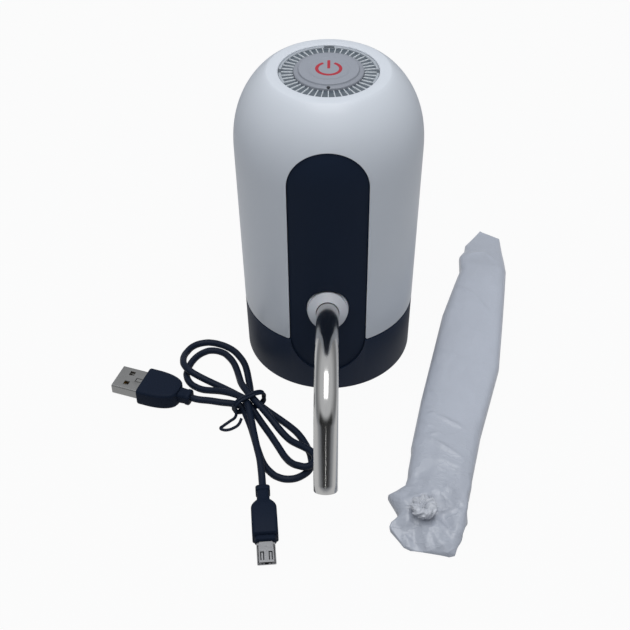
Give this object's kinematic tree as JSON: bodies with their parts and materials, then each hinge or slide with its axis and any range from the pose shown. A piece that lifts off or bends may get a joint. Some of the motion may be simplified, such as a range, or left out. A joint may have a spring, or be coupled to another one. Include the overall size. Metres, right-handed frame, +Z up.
{
  "type": "bottled water pump",
  "caption": "Rechargeable pump that sits on a water bottle's neck, with a swivelling steel spout, a top button, a tied charging lead and a bagged hose.",
  "frame": {"origin": "centre of the base's lower rim, where the pump's axis meets the surface that it stands on", "axes": "+Z up along the pump's axis, -Y towards the spout, +X to the right seen from the front"},
  "size_m": [0.1675, 0.1909, 0.1283],
  "materials": {
    "white_shell": "smooth satin",
    "black_plastic": "matte",
    "grey_frame": "moulded",
    "white_silicone": "satin silicone",
    "polished_steel": "polished",
    "plated_steel": "plated",
    "clear_ring": "frosted clear",
    "grey_button": "satin",
    "green_board": "lacquered",
    "blue_sleeve": "shrink sleeve",
    "black_rubber": "matte",
    "white_tongue": "moulded",
    "red_wire": "insulation",
    "led_lens": "clear lens",
    "milky_film": "thin translucent film"
  },
  "bodies": {
    "pump": {"outer_shell": "white_shell", "front_panel": "black_plastic", "base_housing": "black_plastic", "chassis_plate": "grey_frame", "neck_gasket": "white_silicone", "intake_nipple": "grey_frame", "spout_collar": "white_silicone", "outlet_socket": "grey_frame", "spout_oring_inner": "black_rubber", "spout_oring_outer": "black_rubber", "intake_tube": "white_silicone", "outlet_tube": "white_silicone", "pump_head": "grey_frame", "valve_plate": "grey_frame", "diaphragm": "black_rubber", "pump_body": "black_plastic", "motor_can": "plated_steel", "motor_end_cap": "black_rubber", "battery_cell": "blue_sleeve", "battery_cap": "grey_frame", "charge_board": "green_board", "usb_socket": "plated_steel", "board_screw_left": "plated_steel", "board_screw_right": "plated_steel", "switch_board": "green_board", "tact_switch": "black_rubber", "button_spring": "plated_steel", "light_ring": "clear_ring", "battery_wire_positive": "red_wire", "battery_wire_negative": "black_rubber", "motor_wire_positive": "red_wire", "motor_wire_negative": "black_rubber", "switch_lead": "white_tongue", "base_screw_1": "plated_steel", "pump_screw_1": "plated_steel", "led_1": "led_lens", "base_screw_2": "plated_steel", "pump_screw_2": "plated_steel", "led_2": "led_lens", "base_screw_3": "plated_steel", "pump_screw_3": "plated_steel", "led_3": "led_lens", "base_screw_4": "plated_steel", "pump_screw_4": "plated_steel", "led_4": "led_lens"},
    "button": {"power_button": "grey_button"},
    "spout": {"spout_pipe": "polished_steel"},
    "rotor": {"motor_shaft": "plated_steel", "motor_armature": "plated_steel", "eccentric_cam": "white_tongue", "wobble_plate": "white_tongue"},
    "charging_lead": {"charging_cable": "black_plastic", "cable_tie": "black_plastic", "usb_shell": "plated_steel", "usb_tongue": "white_tongue", "usb_grip": "black_plastic", "micro_grip": "black_plastic", "micro_shell": "plated_steel"},
    "bagged_hose": {"hose_bag": "milky_film", "suction_hose": "white_silicone"}
  },
  "joints": [
    {"name": "power_button", "type": "slide", "parent": "pump", "child": "button", "axis": [0, 0, -1], "range_m": [0, 0.0008], "stiffness_N_per_m": 400, "springref_m": -0.002, "deforming": ["button_spring"]},
    {"name": "spout_swivel", "type": "hinge", "parent": "pump", "child": "spout", "pos_m": [0, -0.03409, 0.0438], "axis": [0, -0.9397, 0.342], "continuous": true},
    {"name": "rotor_spin", "type": "hinge", "parent": "pump", "child": "rotor", "pos_m": [-0.015, 0.004, 0.09], "axis": [0, 0, 1], "continuous": true},
    {"name": "lead_lift_off", "type": "slide", "parent": "pump", "child": "charging_lead", "axis": [-1, 0, 0], "range_m": [0, 0.15]},
    {"name": "bag_lift_off", "type": "slide", "parent": "pump", "child": "bagged_hose", "axis": [1, 0, 0], "range_m": [0, 0.15]}
  ]
}
